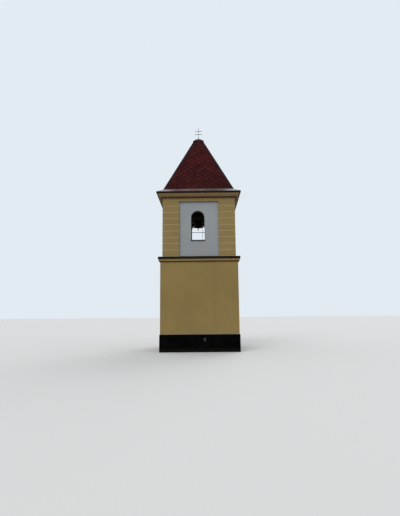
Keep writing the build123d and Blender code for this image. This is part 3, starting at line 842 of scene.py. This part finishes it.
# One guard rail across each opening, on small round plates
depth = -panel_face + rail_set_back
rings = ((rosette_radius, 0), (rosette_radius, 0.6 * rosette_thick),
         (0.85 * rosette_radius, rosette_thick))
bm = bmesh.new()
for side in turns:
    left = opening_middles[side] - opening_halves[side]
    right = opening_middles[side] + opening_halves[side]
    points = [turned(side) @ Vector((end, depth, rail_height)) for end in (left, right)]
    tube(bm, points, rail_radius, sides=14)
    for end, inward in ((left, 1), (right, -1)):
        centre = turned(side) @ Vector((end, depth, rail_height))
        axis = turned(side).to_3x3() @ Vector((inward, 0, 0))
        turned_solid(bm, centre, axis, rings, sides=20)
make_piece("guard_rails", bm, "iron")

# Door boards with V joints, nailed to the ledges, and the nails of the hinge straps
leaf_low, leaf_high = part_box("door_leaf")
board_wide = (leaf_high.x - leaf_low.x) / board_count
bm = bmesh.new()
for index in range(board_count):
    left = leaf_low.x + index * board_wide + board_ease
    right = leaf_low.x + (index + 1) * board_wide - board_ease
    face = leaf_high.y - rng.uniform(0, board_uneven)
    outline = ((left, leaf_low.y), (right, leaf_low.y), (right, face - board_chamfer),
               (right - board_chamfer, face), (left + board_chamfer, face), (left, face - board_chamfer))
    prism(bm, [(x, y, leaf_low.z) for x, y in outline], [(x, y, leaf_high.z) for x, y in outline])
door_boards = make_piece("door_boards", bm, "door")
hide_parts("door_leaf")

bm = bmesh.new()
for share in ledge_shares:
    level = leaf_low.z + share * (leaf_high.z - leaf_low.z)
    for index in range(board_count):
        for offset in nail_shares:
            across = leaf_low.x + (index + offset) * board_wide
            if share == middle_ledge or across < leaf_high.x - strap_long - strap_clear:
                nail(bm, (across, leaf_high.y - nail_sunk, level), (0, 1, 0), *nail_size)
    if share != middle_ledge:
        for step in range(strap_nails):
            across = leaf_high.x - strap_nail_first - step * strap_nail_pitch
            nail(bm, (across, leaf_high.y + strap_thick, level), (0, 1, 0), *strap_nail_size)
make_piece("door_nails", bm, "iron")

# Bolts of the bearings, and of the plates, straps and lever on the headstock
bearing_low, bearing_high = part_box("shaft_bearings")
bm = bmesh.new()
bearing_middle = (bearing_low.x + bearing_high.x) / 2
for x in (bearing_middle - bearing_bolt_aside, bearing_middle + bearing_bolt_aside):
    for y in (bearing_low.y + bearing_bolt_inset, bearing_high.y - bearing_bolt_inset):
        bolt(bm, (x, y, bearing_low.z + bearing_foot_thick), (0, 0, 1), *bearing_bolt)
make_piece("bearing_bolts", bm, "iron")

stock_low, stock_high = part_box("headstock")
stock_across = (stock_low.x + stock_high.x) / 2
stock_middle = (stock_low.z + stock_high.z) / 2
straps_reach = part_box("headstock_straps")[1].x - stock_across
lever_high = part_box("bell_lever")[1]
bm = bmesh.new()
for outward in (-1, 1):
    for z in (-stock_bolt_rise, stock_bolt_rise):
        for x in (-plate_bolt_aside, plate_bolt_aside):
            place = (stock_across + x, outward * (stock_high.y + plate_thick), stock_middle + z)
            bolt(bm, place, (0, outward, 0), *plate_bolt)
        for y in (-strap_bolt_aside, strap_bolt_aside):
            place = (stock_across + outward * straps_reach, y, stock_middle + z)
            bolt(bm, place, (outward, 0, 0), *strap_bolt)
for x in (-lever_bolt_aside, lever_bolt_aside):
    bolt(bm, (stock_across + x, rope_route[0][1], lever_high.z), (0, 0, 1), *strap_bolt)
make_piece("headstock_bolts", bm, "iron", "bell")

# Forged drop at the foot of the clapper
clapper_low, clapper_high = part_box("clapper")
clapper_across = (clapper_low.x + clapper_high.x) / 2
bm = bmesh.new()
turned_solid(bm, (clapper_across, 0, clapper_low.z), (0, 0, 1), flight_rings, sides=16)
make_piece("clapper_flight", bm, "iron", "clapper")


def spline_points(route):
    """Points along the smooth line that a route's points control."""
    curve = bpy.data.curves.new("route", "CURVE")
    curve.dimensions = "3D"
    spline = curve.splines.new("NURBS")
    spline.points.add(len(route) - 1)
    for point, place in zip(spline.points, route):
        point.co = (*place, 1.0)
    spline.order_u = 3
    spline.use_endpoint_u = True
    spline.resolution_u = spline_steps
    holder = bpy.data.objects.new("route", curve)
    mesh = bpy.data.meshes.new_from_object(holder)
    points = [vertex.co.copy() for vertex in mesh.vertices]
    bpy.data.objects.remove(holder)
    bpy.data.curves.remove(curve)
    bpy.data.meshes.remove(mesh)
    return points


def laid_strands(bm, line, diameter):
    """Strands twisted round a line that hangs straight down."""
    strand_radius = diameter / 2 / (1 + 2 / math.sqrt(3))
    offset = diameter / 2 - strand_radius
    start, end = line[0], line[-1]
    long = (end - start).length
    steps = math.ceil(long / strand_pitch * strand_steps)
    for strand in range(strand_count):
        points = []
        for step in range(steps + 1):
            along = long * step / steps
            angle = 2 * math.pi * (along / strand_pitch + strand / strand_count)
            arm = Vector((math.cos(angle), math.sin(angle), 0)) * offset
            points.append(start.lerp(end, along / long) + arm)
        tube(bm, points, strand_radius, sides=6)


# Bell rope
rope_line = spline_points(rope_route)
rope_x, rope_y, rope_top = rope_route[0]
bm = bmesh.new()
laid_strands(bm, rope_line, rope_diameter)
rope = smooth(make_object("rope", bm, "hemp"))
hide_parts("bell_rope")

# Hitch of the rope round the end of the lever
lever_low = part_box("bell_lever")[0]
lever_middle = (lever_low.z + lever_high.z) / 2
half_wide = (lever_high.y - lever_low.y) / 2 + rope_diameter / 2
half_high = (lever_high.z - lever_low.z) / 2 + rope_diameter / 2
points = []
for step in range(hitch_turns * hitch_steps + 1):
    angle = 2 * math.pi * step / hitch_steps
    cosine, sine = math.cos(angle), math.sin(angle)
    y = rope_y + half_wide * math.copysign(abs(cosine) ** hitch_squareness, cosine)
    z = lever_middle + half_high * math.copysign(abs(sine) ** hitch_squareness, sine)
    x = rope_x + rope_diameter * (step / hitch_steps - hitch_turns / 2)
    points.append(Vector((x, y, z)))
bm = bmesh.new()
tube(bm, points, rope_diameter / 2, sides=10)
hitch = smooth(make_piece("rope_hitch", bm, "hemp", "bell"))

# Stopper knot: turns wound round the end of the rope, with a short tail
knot_low, knot_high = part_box("rope_knot")
points = []
for step in range(knot_turns * knot_steps + 1):
    angle = 2 * math.pi * step / knot_steps
    radius = knot_radius + knot_swell * math.sin(math.pi * step / (knot_turns * knot_steps))
    level = knot_high.z - rope_diameter / 2 - knot_pitch * step / knot_steps
    points.append(Vector((rope_x + radius * math.cos(angle), rope_y + radius * math.sin(angle), level)))
bm = bmesh.new()
tube(bm, points, rope_diameter / 2, sides=10)
rings = ((tail_end_radius, 0), (tail_radius, tail_chamfer), (tail_radius, knot_high.z - knot_low.z))
turned_solid(bm, (rope_x, rope_y, knot_low.z), (0, 0, 1), rings, sides=10)
knot = smooth(make_piece("rope_end_knot", bm, "hemp"))
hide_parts("rope_knot")

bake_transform(rope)

# Floor, sky and lamps: the light that reaches the tower, and what is seen of the background itself
floor_half = 150.0
floor_drop = 0.001
floor_lit = (0.22, 0.215, 0.205, 1)
floor_shown = (0.44, 0.44, 0.435, 1)
sky_lit = (0.96, 0.98, 1.0, 1)
sky_lit_strength = 1.1
sky_shown = (0.76, 0.83, 0.89, 1)
lamp_softness = math.radians(35)


def background_rays(tree):
    """1 for what sees the background itself: the camera, a reflection or a clear surface."""
    path = tree.nodes.new("ShaderNodeLightPath")
    total = path.outputs["Is Camera Ray"]
    for ray in ("Is Glossy Ray", "Is Transmission Ray"):
        adder = tree.nodes.new("ShaderNodeMath")
        adder.operation = "MAXIMUM"
        tree.links.new(total, adder.inputs[0])
        tree.links.new(path.outputs[ray], adder.inputs[1])
        total = adder.outputs[0]
    return total


def stage_floor():
    """A plain pale floor that keeps the tower's shadow."""
    floor_bm = bmesh.new()
    bmesh.ops.create_grid(floor_bm, x_segments=1, y_segments=1, size=floor_half)
    data = bpy.data.meshes.new("floor")
    floor_bm.to_mesh(data)
    floor_bm.free()
    floor = bpy.data.objects.new("floor", data)
    floor.location.z = -floor_drop
    bpy.context.scene.collection.objects.link(floor)
    material = bpy.data.materials.new("floor")
    material.use_nodes = True
    tree = material.node_tree
    shader = tree.nodes["Principled BSDF"]
    shader.inputs["Roughness"].default_value = 0.95
    mixer = tree.nodes.new("ShaderNodeMix")
    mixer.data_type = "RGBA"
    tree.links.new(background_rays(tree), mixer.inputs[0])
    mixer.inputs[6].default_value = floor_lit
    mixer.inputs[7].default_value = floor_shown
    tree.links.new(mixer.outputs[2], shader.inputs["Base Color"])
    data.materials.append(material)


def sky():
    """Even soft light, and a plain pale sky for what sees it directly."""
    world = bpy.data.worlds.new("sky")
    bpy.context.scene.world = world
    world.use_nodes = True
    tree = world.node_tree
    lit = tree.nodes["Background"]
    lit.inputs["Color"].default_value = sky_lit
    lit.inputs["Strength"].default_value = sky_lit_strength
    shown = tree.nodes.new("ShaderNodeBackground")
    shown.inputs["Color"].default_value = sky_shown
    shown.inputs["Strength"].default_value = 1.0
    mixer = tree.nodes.new("ShaderNodeMixShader")
    tree.links.new(background_rays(tree), mixer.inputs[0])
    tree.links.new(lit.outputs[0], mixer.inputs[1])
    tree.links.new(shown.outputs[0], mixer.inputs[2])
    tree.links.new(mixer.outputs[0], tree.nodes["World Output"].inputs["Surface"])


def lamp(name, azimuth, elevation, strength):
    """A soft sun whose light comes from an azimuth, where 0 is the front and 90 the right."""
    light = bpy.data.lights.new(name, "SUN")
    light.energy = strength
    light.angle = lamp_softness
    holder = bpy.data.objects.new(name, light)
    turn, rise = math.radians(azimuth), math.radians(elevation)
    source = Vector((math.sin(turn) * math.cos(rise), -math.cos(turn) * math.cos(rise), math.sin(rise)))
    holder.rotation_mode = "QUATERNION"
    holder.rotation_quaternion = source.to_track_quat("Z", "Y")
    bpy.context.scene.collection.objects.link(holder)


stage_floor()
sky()
lamp("key_lamp", azimuth=-25, elevation=40, strength=1.3)
lamp("back_lamp", azimuth=155, elevation=40, strength=1.05)

# The camera as the photograph was taken
forward = Vector((-math.sin(yaw) * math.cos(pitch), math.cos(yaw) * math.cos(pitch), math.sin(pitch)))
level_right = Vector((math.cos(yaw), math.sin(yaw), 0))
level_up = level_right.cross(forward)
right = level_right * math.cos(roll) + level_up * math.sin(roll)
up = level_up * math.cos(roll) - level_right * math.sin(roll)
camera_data = bpy.data.cameras.new("camera")
camera_data.sensor_width = sensor_long_mm
camera_data.lens = sensor_long_mm * focal_pixels / image_high
camera = bpy.data.objects.new("camera", camera_data)
camera.matrix_world = Matrix.Translation(eye) @ Matrix((right, up, -forward)).transposed().to_4x4()
bpy.context.scene.collection.objects.link(camera)
bpy.context.scene.camera = camera
bpy.context.scene.view_settings.view_transform = "Standard"
